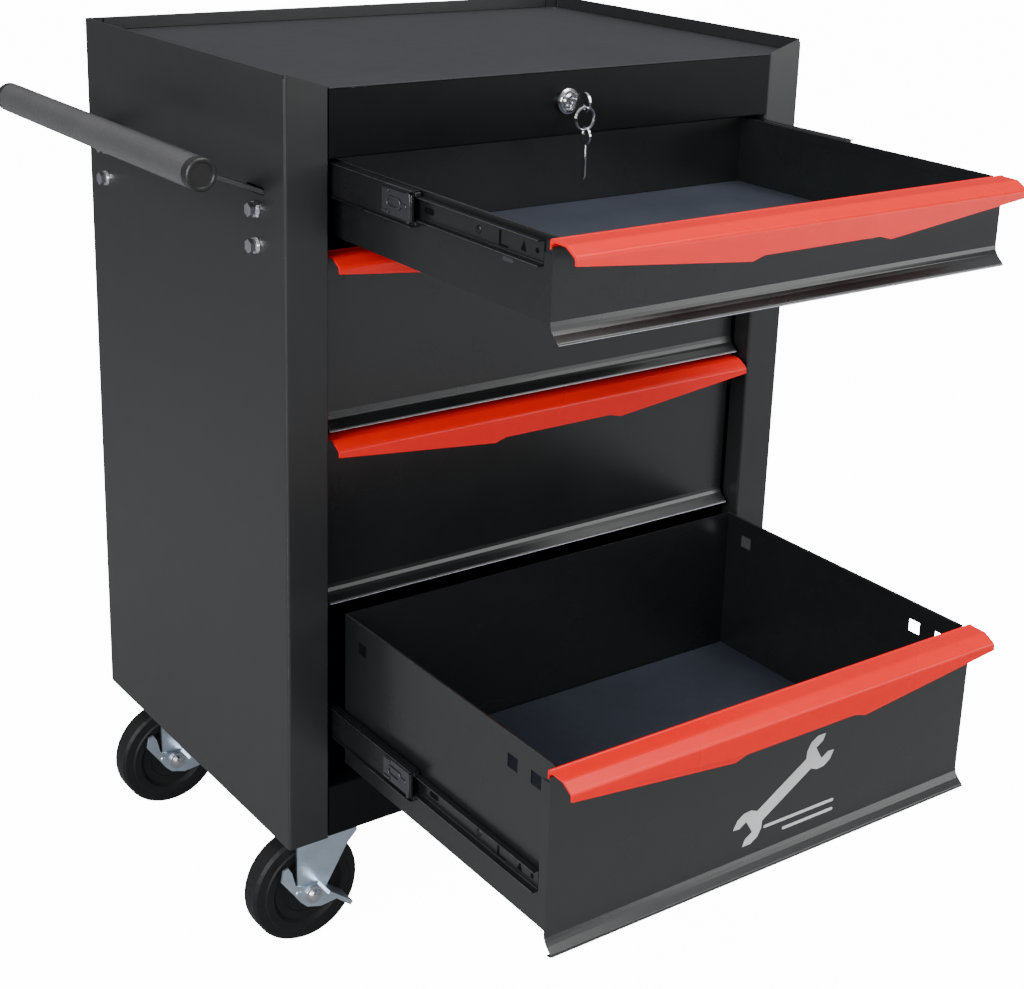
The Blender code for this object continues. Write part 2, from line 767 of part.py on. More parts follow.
lock_spot = (LOCK_X, 0.0, LOCK_UP)
chrome = {"colour": (0.75, 0.76, 0.78), "roughness": 0.15, "metallic": 1.0}
housing = [
    (-3.6, 6.6), (-3.6, 8.6), (-2.6, 10.4), (-GAP, 10.6), (-GAP, 9.0), (20.0, 9.0), (20.0, 6.6),
]
node("lock_housing", [lathe(housing, "Y", lock_spot, 28)], origin=lock_spot, **chrome)

crank = block(
    (LOCK_X - 3.0, ROD_END - 2.4, LOCK_UP - 4.0),
    (LOCK_X + BOLT_STROKE + 3.0, ROD_END, LOCK_UP + 4.0),
)
plug = [
    lathe([(-4.4, 0), (-4.4, 5.6), (-3.9, 6.2), (22.0, 6.2), (22.0, 0)], "Y", lock_spot, 24),
    lathe([(21.0, 0), (21.0, 2.5), (ROD_END, 2.5), (ROD_END, 0)], "Y", lock_spot, 12),
    crank,
    lathe(
        [(ROD_END - 1, 0), (ROD_END - 1, 1.5), (ROD_END + 8, 1.5), (ROD_END + 8, 0)],
        "Y", (LOCK_X + BOLT_STROKE, 0, LOCK_UP), 12,
    ),
]
keyway = block((LOCK_X - 1.3, -6.0, LOCK_UP - 3.8), (LOCK_X + 1.3, 16.0, LOCK_UP + 3.8))
node("lock_plug", plug, [keyway], origin=lock_spot, **chrome)

bow_y = -22.5
hole_y = -25.0
hole_z = LOCK_UP - 1.2
bow = circle(bow_y, LOCK_UP + 2.2, 8.2, 20)
blade = [
    (-18.0, LOCK_UP - 3.4), (-8.0, LOCK_UP - 3.4), (12.0, LOCK_UP - 3.2), (14.5, LOCK_UP),
    (12.0, LOCK_UP + 3.2), (-18.0, LOCK_UP + 3.4),
]
key = [
    prism(bow, "X", LOCK_X - 1.0, LOCK_X + 1.0),
    prism(blade, "X", LOCK_X - 0.9, LOCK_X + 0.9),
]
key_hole = prism(circle(hole_y, hole_z, 2.4, 16), "X", LOCK_X - 3, LOCK_X + 3)
node("lock_key", key, [key_hole], origin=lock_spot, **chrome)

wire = 0.85
ring_radius = 9.1
ring_spot = (LOCK_X, hole_y, hole_z - ring_radius)
ring = [
    (wire * math.sin(math.tau * i / 8), ring_radius + wire * math.cos(math.tau * i / 8)) for i in range(8)
]
node("key_ring", [lathe(ring, "Y", ring_spot, 36)], origin=(LOCK_X, hole_y, hole_z), **chrome)

bar_low = ROD_END + 3.0
window = block(
    (LOCK_X - 3.0, bar_low - 2, LOCK_UP - 4.6), (LOCK_X + BOLT_STROKE + 4.0, bar_low + 5, LOCK_UP + 4.6),
)
bar = [block((LOCK_X - 8.0, bar_low, 120.0), (LOCK_X + BOLT_STROKE + 8.0, bar_low + 2.0, LOCK_UP + 10))]
for number in (1, 2, 3, 4):
    shelf = lip_height(number) + BOX_RAISE + (30 if number == 1 else 96)
    bar.append(block((LOCK_X - 6.0, bar_low - 12, shelf), (LOCK_X + 14.0, bar_low + 0.6, shelf + 2)))
node(
    "lock_bar", bar, [window], origin=(LOCK_X, bar_low, LOCK_UP),
    colour=(0.5, 0.5, 0.52), roughness=0.4, metallic=1.0,
)
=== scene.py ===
"""Rolling tool chest: finishes, small detail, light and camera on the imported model."""
import math

import bpy
from mathutils import Matrix, Vector


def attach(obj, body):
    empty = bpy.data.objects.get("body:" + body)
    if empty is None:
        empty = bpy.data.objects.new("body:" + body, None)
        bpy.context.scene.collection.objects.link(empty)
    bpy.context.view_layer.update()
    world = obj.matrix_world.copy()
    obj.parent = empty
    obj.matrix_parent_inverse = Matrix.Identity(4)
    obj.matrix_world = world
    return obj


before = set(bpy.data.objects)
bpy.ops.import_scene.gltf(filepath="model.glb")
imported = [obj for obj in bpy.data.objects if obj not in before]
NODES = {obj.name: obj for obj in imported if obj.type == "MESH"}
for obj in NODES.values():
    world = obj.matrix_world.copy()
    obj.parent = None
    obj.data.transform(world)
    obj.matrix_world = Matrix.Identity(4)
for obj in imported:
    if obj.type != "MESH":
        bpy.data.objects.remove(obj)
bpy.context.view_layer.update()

# The cabinet's own frame in millimetres: X from the left panel's outer face, Y from the posts' face,
# Z from the bottom edge of the side panels. Drawers are numbered from the top; 1 and 4 stand open.
CENTRE_X, CENTRE_Y, LIFT = 215.375, 20.3, 116.0
WIDTH, DEPTH, HEIGHT = 510.0, 355.0, 634.0
DRAWERS = (1, 2, 3, 4)
CLOSED = 18.0
FRONT = {1: -268.0, 2: CLOSED, 3: CLOSED, 4: -288.0}
LIP = {n: 58.0 + 146.5 * (4 - n) for n in DRAWERS}
TALL = {n: 69.5 if n == 1 else 144.5 for n in DRAWERS}
SLIDE = {n: LIP[n] + (56.5 if n == 1 else 47.5) for n in DRAWERS}
MIDDLE = {n: 35.0 + (FRONT[n] - CLOSED) / 2 for n in DRAWERS}
MIDDLE_LENGTH = 298.0
LIP_START, LIP_END = 43.2, 466.8
CASTERS = (("front", 45.0), ("rear", 309.0))
LEFT_CASTER, RIGHT_CASTER = 59.0, 451.0
LOCK = (255.0, 0.0, 598.0)


def place(x, y, z):
    """A point of the cabinet's frame in the row frame, in metres."""
    return Vector(((x - CENTRE_X) / 1000, (y - CENTRE_Y) / 1000, (z + LIFT) / 1000))


# ---------------------------------------------------------------- finishes

def maths(tree, kind, a, b):
    node = tree.nodes.new("ShaderNodeMath")
    node.operation = kind
    for i, value in enumerate((a, b)):
        if isinstance(value, (int, float)):
            node.inputs[i].default_value = value
        else:
            tree.links.new(value, node.inputs[i])
    return node.outputs[0]


def noise(tree, coords, scale, detail):
    node = tree.nodes.new("ShaderNodeTexNoise")
    node.inputs["Scale"].default_value = scale
    node.inputs["Detail"].default_value = detail
    tree.links.new(coords, node.inputs["Vector"])
    return node.outputs["Fac"]


def spread(tree, value, low, high):
    """A noise value carried from its usual range to the given one."""
    node = tree.nodes.new("ShaderNodeMapRange")
    node.inputs["From Min"].default_value = 0.25
    node.inputs["From Max"].default_value = 0.75
    node.inputs["To Min"].default_value = low
    node.inputs["To Max"].default_value = high
    tree.links.new(value, node.inputs["Value"])
    return node.outputs["Result"]


def two_tone(tree, value, dark, light):
    node = tree.nodes.new("ShaderNodeValToRGB")
    node.color_ramp.elements[0].position = 0.3
    node.color_ramp.elements[0].color = (*dark, 1)
    node.color_ramp.elements[1].position = 0.7
    node.color_ramp.elements[1].color = (*light, 1)
    tree.links.new(value, node.inputs["Fac"])
    return node.outputs["Color"]


def finish(name, dark, light, rough, metallic=0.0, bumps=(), broad=6.0, specular=0.5):
    """A finish with a broad change of tone, a changing roughness and fine bumps; each bump is
    (scale per metre, height in metres, strength)."""
    mat = bpy.data.materials.new(name)
    mat.use_nodes = True
    tree = mat.node_tree
    shader = tree.nodes["Principled BSDF"]
    coords = tree.nodes.new("ShaderNodeTexCoord").outputs["Object"]
    wide = noise(tree, coords, broad, 4.0)
    fine = noise(tree, coords, broad * 12, 5.0)
    tone = maths(tree, "MULTIPLY", maths(tree, "ADD", wide, fine), 0.5)
    tree.links.new(two_tone(tree, tone, dark, light), shader.inputs["Base Color"])
    tree.links.new(spread(tree, wide, *rough), shader.inputs["Roughness"])
    shader.inputs["Metallic"].default_value = metallic
    shader.inputs["Specular IOR Level"].default_value = specular
    normal = None
    for scale, height, strength in bumps:
        bump = tree.nodes.new("ShaderNodeBump")
        bump.inputs["Strength"].default_value = strength
        bump.inputs["Distance"].default_value = height
        tree.links.new(noise(tree, coords, scale, 2.0), bump.inputs["Height"])
        if normal:
            tree.links.new(normal, bump.inputs["Normal"])
        normal = bump.outputs["Normal"]
    if normal:
        tree.links.new(normal, shader.inputs["Normal"])
    return mat


shell = finish("shell_black", (0.017, 0.018, 0.0185), (0.021, 0.022, 0.0225), (0.30, 0.38),
               bumps=((900, 0.00006, 0.35), (4200, 0.00002, 0.25)))
# The header and bottom panels: a darker copy of the side panels' black paint, which is painted shade.
front_shade_black = finish("post_shade_black", (0.0035, 0.0045, 0.005), (0.0055, 0.0065, 0.007), (0.28, 0.36),
                     bumps=((900, 0.00006, 0.3), (4200, 0.00002, 0.25)), specular=0.11)
# The top: the same black-painted sheet, made a lighter grey for the light falling on it from above, which is
# painted light.
top_lit_grey = finish("top_lit_grey", (0.026, 0.027, 0.030), (0.034, 0.035, 0.039), (0.42, 0.52),
                   bumps=((1100, 0.00006, 0.4), (4200, 0.00002, 0.3)), specular=0.3)
drawer_black = finish("drawer_black", (0.006, 0.0072, 0.0075), (0.009, 0.0104, 0.0107), (0.24, 0.32),
                      bumps=((850, 0.00005, 0.3), (4200, 0.00002, 0.2)), specular=0.75)
pull_red = finish("pull_red", (0.78, 0.005, 0.004), (0.84, 0.007, 0.005), (0.24, 0.30),
                  bumps=((700, 0.00004, 0.25),), specular=0.22)
slide_black = finish("slide_black", (0.005, 0.005, 0.0055), (0.009, 0.009, 0.010), (0.22, 0.34),
                     bumps=((1500, 0.00003, 0.3),), broad=20, specular=0.38)
liner_mat = finish("liner_mat", (0.019, 0.024, 0.036), (0.028, 0.034, 0.052), (0.55, 0.7),
                   bumps=((2600, 0.00012, 0.6), (300, 0.0001, 0.2)), broad=14)
zinc = finish("zinc_plate", (0.66, 0.77, 0.90), (0.80, 0.90, 1.0), (0.26, 0.42), metallic=1.0,
              bumps=((2200, 0.00003, 0.3),), broad=60)
bright = finish("bright_steel", (0.62, 0.63, 0.66), (0.78, 0.79, 0.81), (0.14, 0.28), metallic=1.0,
                bumps=((1800, 0.00002, 0.3),), broad=80)
chrome = finish("lock_chrome", (0.70, 0.71, 0.74), (0.86, 0.87, 0.89), (0.08, 0.18), metallic=1.0,
                bumps=((1500, 0.00002, 0.2),), broad=90)
rubber = finish("wheel_rubber", (0.0065, 0.0065, 0.007), (0.012, 0.012, 0.0125), (0.42, 0.6),
                bumps=((1600, 0.00008, 0.5), (260, 0.0001, 0.2)), broad=30, specular=0.3)
tube_black = finish("tube_black", (0.062, 0.062, 0.064), (0.078, 0.078, 0.080), (0.22, 0.30),
                    bumps=((1200, 0.00003, 0.3),), broad=16)
cap_plastic = finish("cap_plastic", (0.010, 0.010, 0.010), (0.016, 0.016, 0.016), (0.34, 0.5),
                     bumps=((2400, 0.00004, 0.4),), broad=40)

PAINTS = {
    "side_panel_left": shell, "side_panel_right": shell, "back_panel": shell, "header_panel": front_shade_black,
    "bottom_panel": front_shade_black, "top_panel": top_lit_grey, "slide_rack_left": slide_black,
    "slide_rack_right": slide_black, "handle_tube": tube_black, "handle_arm_front": tube_black,
    "handle_arm_rear": tube_black, "handle_cap_front": cap_plastic, "handle_cap_rear": cap_plastic,
    "lock_housing": chrome, "lock_plug": chrome, "lock_key": chrome, "key_ring": chrome, "lock_bar": zinc,
}
FAMILIES = (
    ("drawer_box", drawer_black), ("drawer_pull", pull_red), ("drawer_liner", liner_mat),
    ("slide_mid", slide_black), ("caster_wheel", rubber), ("caster_axle", bright), ("caster_", zinc),
    ("brake_lever", zinc), ("handle_bolt", bright),
)
for name, piece in NODES.items():
    paint = PAINTS.get(name) or next(m for start, m in FAMILIES if name.startswith(start))
    piece.data.materials.clear()
    piece.data.materials.append(paint)


def soften(name, width):
    """Small rounded edges on a folded sheet piece."""
    piece = NODES[name]
    weld = piece.modifiers.new("Weld", "WELD")
    weld.merge_threshold = 0.00001
    bevel = piece.modifiers.new("Bevel", "BEVEL")
    bevel.width = width
    bevel.segments = 2
    bevel.limit_method = "ANGLE"
    bevel.angle_limit = math.radians(35)
    bevel.use_clamp_overlap = True
    bevel.harden_normals = True


SOFT_EDGES = (
    (("side_panel", "header_panel", "bottom_panel", "top_panel", "back_panel", "drawer_box",
      "drawer_pull"), 0.0003),
    (("caster_plate", "caster_fork", "caster_bracket", "brake", "handle_arm", "slide_"), 0.00025),
    (("handle_bolt", "caster_axle", "lock_key"), 0.0004),
)
for name in NODES:
    for starts, width in SOFT_EDGES:
        if name.startswith(starts):
            soften(name, width)


# ---------------------------------------------------------------- small detail

def build(name, points, faces, paint, body, slot, bevel=0.0):
    """A detail piece in the cabinet's frame, riding on a body; bevel in millimetres."""
    mesh = bpy.data.meshes.new(name)
    mesh.from_pydata([place(*p) for p in points], [], faces)
    mesh.validate()
    mesh.shade_smooth()
    mesh.set_sharp_from_angle(angle=math.radians(40))
    thing = bpy.data.objects.new(name, mesh)
    bpy.context.scene.collection.objects.link(thing)
    mesh.materials.append(paint)
    if bevel:
        step = thing.modifiers.new("Bevel", "BEVEL")
        step.width = bevel / 1000
        step.segments = 2
        step.limit_method = "ANGLE"
    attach(thing, body)
    return thing


def turned(profile, axis, centre, count=24):
    """Points and faces of an (along, radius) profile turned about an axis; radius 0 closes it."""
    axes = {
        "X": (Vector((1, 0, 0)), Vector((0, 1, 0)), Vector((0, 0, 1))),
        "Y": (Vector((0, 1, 0)), Vector((0, 0, 1)), Vector((1, 0, 0))),
        "Z": (Vector((0, 0, 1)), Vector((1, 0, 0)), Vector((0, 1, 0))),
    }
    ahead, first, second = axes[axis]
    points, rings, faces = [], [], []
    for along, radius in profile:
        spot = Vector(centre) + ahead * along
        if radius == 0:
            rings.append([len(points)] * count)
            points.append(tuple(spot))
            continue
        rings.append(list(range(len(points), len(points) + count)))
        for i in range(count):
            angle = math.tau * i / count
            points.append(tuple(spot + (first * math.cos(angle) + second * math.sin(angle)) * radius))
    for ring, after in zip(rings, rings[1:]):
        for k in range(count):
            m = (k + 1) % count
            face = tuple(dict.fromkeys((ring[k], ring[m], after[m], after[k])))
            if len(face) > 2:
                faces.append(face)
    return points, faces


# A point of an outline, (u, v), at a distance w along the axis it is carried on
CARRIED = {
    "X": lambda u, v, w: (w, u, v), "Y": lambda u, v, w: (u, w, v), "Z": lambda u, v, w: (u, v, w),
}


def plate(outline, axis, low, high):
    """Points and faces of an outline carried along an axis."""
    order, count = CARRIED[axis], len(outline)
    points = [order(u, v, low) for u, v in outline] + [order(u, v, high) for u, v in outline]
    faces = [tuple(range(count))[::-1], tuple(range(count, 2 * count))]
    faces += [(i, (i + 1) % count, (i + 1) % count + count, i + count) for i in range(count)]
    return points, faces


def merged(solids):
    """Several (points, faces) as one."""
    points, faces = [], []
    for some, more in solids:
        shift = len(points)
        points += some
        faces += [tuple(i + shift for i in face) for face in more]
    return points, faces


def mirror(solid):
    points, faces = solid
    return [(WIDTH - x, y, z) for x, y, z in points], [face[::-1] for face in faces]


def dome(axis, centre, radius, rise, sign, count=18):
    """A low rivet head."""
    profile = [(sign * rise * math.cos(a), radius * math.sin(a)) for a in (0.0, 0.5, 0.9, 1.25, math.pi / 2)]
    profile[0] = (sign * rise, 0)
    return turned(profile, axis, centre, count)


# Near-black for slits, holes, recesses and gaps that are not modelled, which is painted shade.
painted_hole_shade = finish("painted_hole_shade", (0.0015, 0.0015, 0.0018), (0.003, 0.003, 0.0035), (0.6, 0.8),
                   broad=60, specular=0.1)
retainer = finish("retainer_plastic", (0.006, 0.006, 0.007), (0.013, 0.013, 0.014), (0.25, 0.4),
                  bumps=((2500, 0.00003, 0.3),), broad=80, specular=0.9)
# Lighter metal for thin strips laid along edges, which are painted highlight lines.
painted_highlight_steel = finish("painted_highlight_steel", (0.26, 0.27, 0.31), (0.40, 0.41, 0.46), (0.22, 0.34),
                    metallic=1.0, broad=80)
painted_highlight_grey = finish("painted_highlight_grey", (0.10, 0.10, 0.11), (0.16, 0.16, 0.17), (0.2, 0.3),
                    metallic=0.8, broad=80)
# A lighter grey metal for the slide latches, which are black plastic, so their edges show painted glints.
latch_painted_glint = finish("latch_painted_glint", (0.075, 0.077, 0.085), (0.13, 0.133, 0.145), (0.16, 0.26),
                     metallic=0.85, broad=80)
emblem_white = finish("emblem_white", (0.66, 0.66, 0.65), (0.78, 0.78, 0.77), (0.4, 0.55),
                      bumps=((3000, 0.00002, 0.2),), broad=40)


def bar(y0, y1, z0, z1, x0, x1):
    """An upright flat bar seen from the side."""
    return plate([(y0, z0), (y1, z0), (y1, z1), (y0, z1)], "X", x0, x1)


def stadium(u, v, length, height, count=7):
    """An outline with round ends, its length along u."""
    radius, reach, outline = height / 2, (length - height) / 2, []
    for sign in (1, -1):
        for i in range(count + 1):
            angle = math.pi * (i / count - 0.5)
            across, along = radius * math.sin(angle), reach + radius * math.cos(angle)
            outline.append((u + sign * along, v + sign * across))
    return outline


def circle(u, v, radius, count):
    """An outline of a circle about (u, v)."""
    turns = [math.tau * i / count for i in range(count)]
    return [(u + radius * math.cos(a), v + radius * math.sin(a)) for a in turns]


def ring_band(outline, inner, axis, low, high):
    """Points and faces of a flat ring between two outlines of as many points."""
    order, count = CARRIED[axis], len(outline)
    points = [order(u, v, w) for some, w in ((outline, low), (outline, high), (inner, high), (inner, low))
              for u, v in some]
    faces = []
    for ring in range(4):
        for i in range(count):
            j = (i + 1) % count
            a, b = ring * count, (ring + 1) % 4 * count
            faces.append((a + i, a + j, b + j, b + i))
    return points, faces


def put(name, solid, paint, body, slot, flip=False, **more):
    """A detail on the left, or its mirror image on the right."""
    build(name, *(mirror(solid) if flip else solid), paint, body, slot, **more)


def rod(x, z, y0, y1, radius):
    """A thin round strip along Y, laid on an edge as a painted highlight line."""
    return turned([(y0, 0), (y0, radius), (y1, radius), (y1, 0)], "Y", (x, 0, z), 8)


# Ball-bearing slides, and lighter strips along the drawers' lips and edges, which are painted highlights
for n in DRAWERS:
    lip_highlights = []
    for y, z, radius in ((FRONT[n] - 9.45, LIP[n] + 2.5, 0.35), (FRONT[n] - 0.05, LIP[n] + 11.2, 0.25)):
        line = [(LIP_START, 0), (LIP_START, radius), (LIP_END, radius), (LIP_END, 0)]
        lip_highlights.append(turned(line, "X", (0, y, z), 8))
    build(f"lip_highlights_{n}", *merged(lip_highlights), painted_highlight_steel, f"drawer_{n}", "drawer")
    up, start, front = SLIDE[n], MIDDLE[n], FRONT[n]
    for flip in (False, True):
        tag = f"{'right' if flip else 'left'}_{n}"
        lips = merged([
            plate([(39.6, up + s * 12.0), (41.7, up + s * 12.0),
                   (41.7, up + s * 13.0), (39.6, up + s * 13.0)], "Y", start, start + MIDDLE_LENGTH)
            for s in (1, -1)
        ])
        put(f"slide_lips_{tag}", lips, slide_black, f"slides_{n}", "slide", flip, bevel=0.2)
        # The latch is black plastic, drawn in the lighter latch metal to give painted glints.
        block = merged([
            bar(start + 1, start + 40, up - 9.6, up + 9.6, 40.7, 41.6),
            ring_band(stadium(start + 24, up, 20, 9.0), stadium(start + 24, up, 15, 5.0), "X", 39.7, 40.8),
            bar(start + 30, start + 39, up - 8.6, up - 6.4, 39.9, 40.8),
            bar(start + 30, start + 39, up + 6.4, up + 8.6, 39.9, 40.8),
            plate([(start + 2, up - 10.5), (start + 5, up - 11.5), (start + 6.5, up - 4), (start + 5, up),
                   (start + 6.5, up + 4), (start + 5, up + 11.5), (start + 2, up + 10.5), (start + 1, up)],
                  "X", 39.6, 40.8),
            plate(stadium(start + 11, up, 9, 3.2), "X", 39.8, 40.8),
        ])
        put(f"slide_latch_{tag}", block, latch_painted_glint, f"slides_{n}", "slide", flip, bevel=0.25)
        ears = merged([
            plate([(42.6, up + s * 9.2), (47.0, up + s * 9.2), (47.4, up + s * 11.8), (42.6, up + s * 11.8)],
                  "Y", start - 1.4, start + 30)
            for s in (1, -1)
        ])
        put(f"ball_cage_{tag}", ears, retainer, f"slides_{n}", "slide", flip, bevel=0.2)
        # The rail's slits, tab and holes are drawn as dark marks, which are painted shade.
        marks = merged([
            bar(front + 64, front + 66.5, up - 5.5, up + 5.0, 48.62, 48.76),
            bar(front + 56, front + 64, up - 5.5, up - 4.2, 48.62, 48.76),
            plate([(front + 36, up - 3.6), (front + 42, up - 3.2), (front + 38.5, up + 3.4)],
                  "X", 48.55, 48.76),
            plate(circle(front + 24, up, 1.9, 14), "X", 48.62, 48.76),
            plate(stadium(front + 150, up, 12, 4.6), "X", 48.62, 48.76),
            plate(stadium(front + 240, up, 12, 4.6), "X", 48.62, 48.76),
        ])
        put(f"rail_cuts_{tag}", marks, painted_hole_shade, f"drawer_{n}", "slide", flip)
        heads = merged([
            dome("X", (48.75, front + y, up), 3.0, 0.9, -1) for y in (90, 190, 270)
        ])
        put(f"rail_rivets_{tag}", heads, slide_black, f"drawer_{n}", "slide", flip)
        holes = merged([
            dome("X", (38.0, y, up), 3.2, 0.9, 1) for y in (77, 277)
        ])
        put(f"rack_rivets_{tag}", holes, slide_black, "cabinet", "slide", flip)
        # Lighter strips on the slide members' and rails' edges, which are painted highlight lines.
        shine = merged([
            rod(39.75, up + 12.85, start, start + MIDDLE_LENGTH, 0.35),
            rod(39.75, up - 12.85, start, start + 60, 0.25),
        ])
        put(f"slide_highlight_{tag}", shine, painted_highlight_steel, f"slides_{n}", "slide", flip)
        shine = merged([
            rod(44.1, up + 8.3, front + 17, front + 282, 0.28),
            rod(44.1, up - 8.3, front + 17, front + 282, 0.28),
            rod(48.7, up - 6.9, front + 17, front + 282, 0.2),
        ])
        put(f"rail_highlight_{tag}", shine, painted_highlight_steel, f"drawer_{n}", "slide", flip)
        # A lighter strip on the drawer wall's top hem, which is a painted highlight line.
        rim = rod(49.95, LIP[n] + TALL[n] - 0.15, front + 9, front + 283, 0.3)
        put(f"rim_highlight_{tag}", rim, painted_highlight_grey, f"drawer_{n}", "drawer", flip)
        # Slot marks on the walls: lighter on the top drawer as a painted highlight, near-black on the others
        # as painted shade.
        slot_mark = plate(stadium(front + 57, up - 13.5, 12, 3.0), "X", 49.58, 49.72)
        slot_highlight_or_shade = painted_highlight_grey if n == 1 else painted_hole_shade
        put(f"wall_slot_{tag}", slot_mark, slot_highlight_or_shade, f"drawer_{n}", "drawer", flip)

# Casters
for end, y in CASTERS:
    body = f"fork_left_{end}"
    dimple = dome("Y", (20.7, y - 22.4, -61.0), 3.0, 1.3, -1)
    put(f"lever_dimple_{end}", dimple, zinc, f"brake_left_{end}", "zinc")
    # A near-black ring at the swivel race's gap, which is painted shade between the parts.
    race = turned([(0, 19), (0, 22.6), (1.0, 22.6), (1.0, 19), (0, 19)], "Z", (LEFT_CASTER, y, -2.6), 32)
    put(f"race_left_{end}", race, painted_hole_shade, body, "zinc")
    rivet = turned([(0, 0), (0, 5.0), (-1.6, 4.2), (-2.4, 2.2), (-2.6, 0)], "Z", (LEFT_CASTER, y, -15.9), 20)
    put(f"kingpin_head_{end}", rivet, bright, "cabinet", "zinc")
    bolts = merged([
        plate(circle(LEFT_CASTER + dx, y + dy, 5.4, 6), "Z", -6.0, -2.35)
        for dx in (-28, 28) for dy in (-23, 23)
    ])
    put(f"plate_bolts_left_{end}", bolts, bright, "cabinet", "bolt", bevel=0.3)
    bolts = merged([
        plate(circle(RIGHT_CASTER + dx, y + dy, 5.4, 6), "Z", -6.0, -2.35)
        for dx in (-30, 30) for dy in (-23, 23)
    ])
    put(f"plate_bolts_right_{end}", bolts, bright, "cabinet", "bolt", bevel=0.3)
    for side, x in (("left", 35.0), ("right", RIGHT_CASTER)):
        rings = merged([
            turned([(s * 9.9, 22.0), (s * 10.7, 22.4), (s * 10.7, 23.2), (s * 9.9, 23.6)],
                   "Y", (x, y, -66), 48)
            for s in (1, -1)
        ])
        put(f"wheel_rings_{side}_{end}", rings, rubber, f"wheel_{side}_{end}", "tyre")

# Lighter strips along the rim's upper edges and the front folds, which are painted highlight lines
rims = [rod(x, HEIGHT - 0.3, 6, DEPTH - 2, 0.3) for x in (0.6, WIDTH - 0.6)]
line = [(2, 0), (2, 0.3), (WIDTH - 2, 0.3), (WIDTH - 2, 0)]
rims.append(turned(line, "X", (0, DEPTH - 0.6, HEIGHT - 0.3), 8))
line = [(6, 0), (6, 0.25), (HEIGHT - 6, 0.25), (HEIGHT - 6, 0)]
rims += [turned(line, "Z", (x, 0.75, 0), 8) for x in (0.75, WIDTH - 0.75)]
put("rim_highlights", merged(rims), painted_highlight_grey, "cabinet", "shell")

# Tray rivets, and the back panel's screws: flush heads with a crossed recess, drawn as a dark cross of
# painted shade
tray_heads = merged([dome("Z", (x, DEPTH - 14, HEIGHT - 11), 3.0, 0.9, 1) for x in (14.0, WIDTH - 14.0)])
put("tray_rivets", tray_heads, top_lit_grey, "cabinet", "top")
edges = [(x, z) for x in (7.5, WIDTH - 7.5) for z in (20, 140, 260, 380, 500, 600)]
edges += [(x, z) for x in (130, 255, 380) for z in (9, 614)]
screw = [(DEPTH - 0.4, 0), (DEPTH - 0.4, 3.6), (DEPTH + 0.02, 3.6), (DEPTH + 0.08, 3.1), (DEPTH + 0.08, 0)]
put("back_screws", merged([turned(screw, "Y", (x, 0, z), 20) for x, z in edges]), bright, "cabinet", "bolt")
crosses = []
for x, z in edges:
    for u, v in ((1.9, 0.35), (0.35, 1.9)):
        groove = [(x - u, z - v), (x + u, z - v), (x + u, z + v), (x - u, z + v)]
        crosses.append(plate(groove, "Y", DEPTH - 0.2, DEPTH + 0.1))
put("back_recesses", merged(crosses), painted_hole_shade, "cabinet", "bolt")

# The lock's rings, the key's teeth, the split ring's second coil and the spare key
face = merged([
    turned([(-3.7, 8.9), (-4.3, 8.6), (-4.3, 7.2), (-3.7, 6.9)], "Y", LOCK, 32),
    turned([(-4.45, 5.2), (-4.8, 4.8), (-4.8, 4.3), (-4.45, 3.9)], "Y", LOCK, 28),
])
put("lock_rings", face, chrome, "cabinet", "lock")
ring_y, wire = -25.0, 0.62
coil = []
for k in range(8):
    angle = math.tau * k / 8
    coil.append((1.5 + wire * math.sin(angle), 9.1 + wire * math.cos(angle)))
coil.append(coil[0])
put("split_coil", turned(coil, "Y", (LOCK[0], ring_y, 587.7), 40), chrome, "key_ring", "lock")
tip = 596.8 - 18.2
bow, eye = circle(ring_y, tip - 4.6, 7.4, 24), circle(ring_y, tip - 1.4, 2.3, 24)
teeth = [(-27.6, tip - 10.5), (-27.6, tip - 37.0), (-26.0, tip - 39.5)]
for k in range(6):
    teeth += [(-23.6 + 0.9 * (k % 2), tip - 38.0 + 4.4 * k), (-23.0 - 0.9 * (k % 2), tip - 35.6 + 4.4 * k)]
teeth.append((-22.6, tip - 10.5))
spare = merged([
    ring_band(bow, eye, "X", 254.1, 255.9),
    plate(teeth, "X", 254.2, 255.8),
])
put("spare_key", spare, chrome, "key_ring", "lock", bevel=0.25)
key_teeth = plate([
    (-17.5, 593.2), (-15.5, 591.4), (-13.0, 593.0), (-11.0, 591.8),
    (-9.0, 593.4), (-6.5, 592.2), (-4.9, 594.6), (-17.5, 594.8),
], "X", 254.3, 255.7)
put("key_teeth", key_teeth, chrome, "lock_core", "lock", bevel=0.2)

# A plain wrench emblem on the lowest drawer's front
cx, cz, face_y = 268.0, 116.0, FRONT[4]


def turned_outline(points, angle):
    c, s = math.cos(angle), math.sin(angle)
    return [(cx + u * c - v * s, cz + u * s + v * c) for u, v in points]


def jaw():
    """The open end of a spanner, as outline points about the handle's middle."""
    head = [(42 + 15 * math.cos(a), 15 * math.sin(a)) for a in (2.75, 2.3, 1.8, 1.3, 0.75)]
    mouth = [(48, 6.5), (40, 6.5), (40, -6.5), (48, -6.5)]
    return head + mouth + [(u, -v) for u, v in head[::-1]]


outline = jaw() + [(-u, v) for u, v in jaw()[::-1]]
put("emblem_wrench", plate(turned_outline(outline, 0.55), "Y", face_y - 0.16, face_y - 0.01), emblem_white,
    "drawer_4", "drawer")
for k, (dx, dz, length) in enumerate(((18, -26, 74), (28, -34, 54))):
    strip = plate(stadium(cx + dx, cz + dz, length, 2.6), "Y", face_y - 0.16, face_y - 0.01)
    put(f"emblem_line_{k}", strip, emblem_white, "drawer_4", "drawer")

# ---------------------------------------------------------------- floor, light and camera
FLOOR_GLOW = 14.0


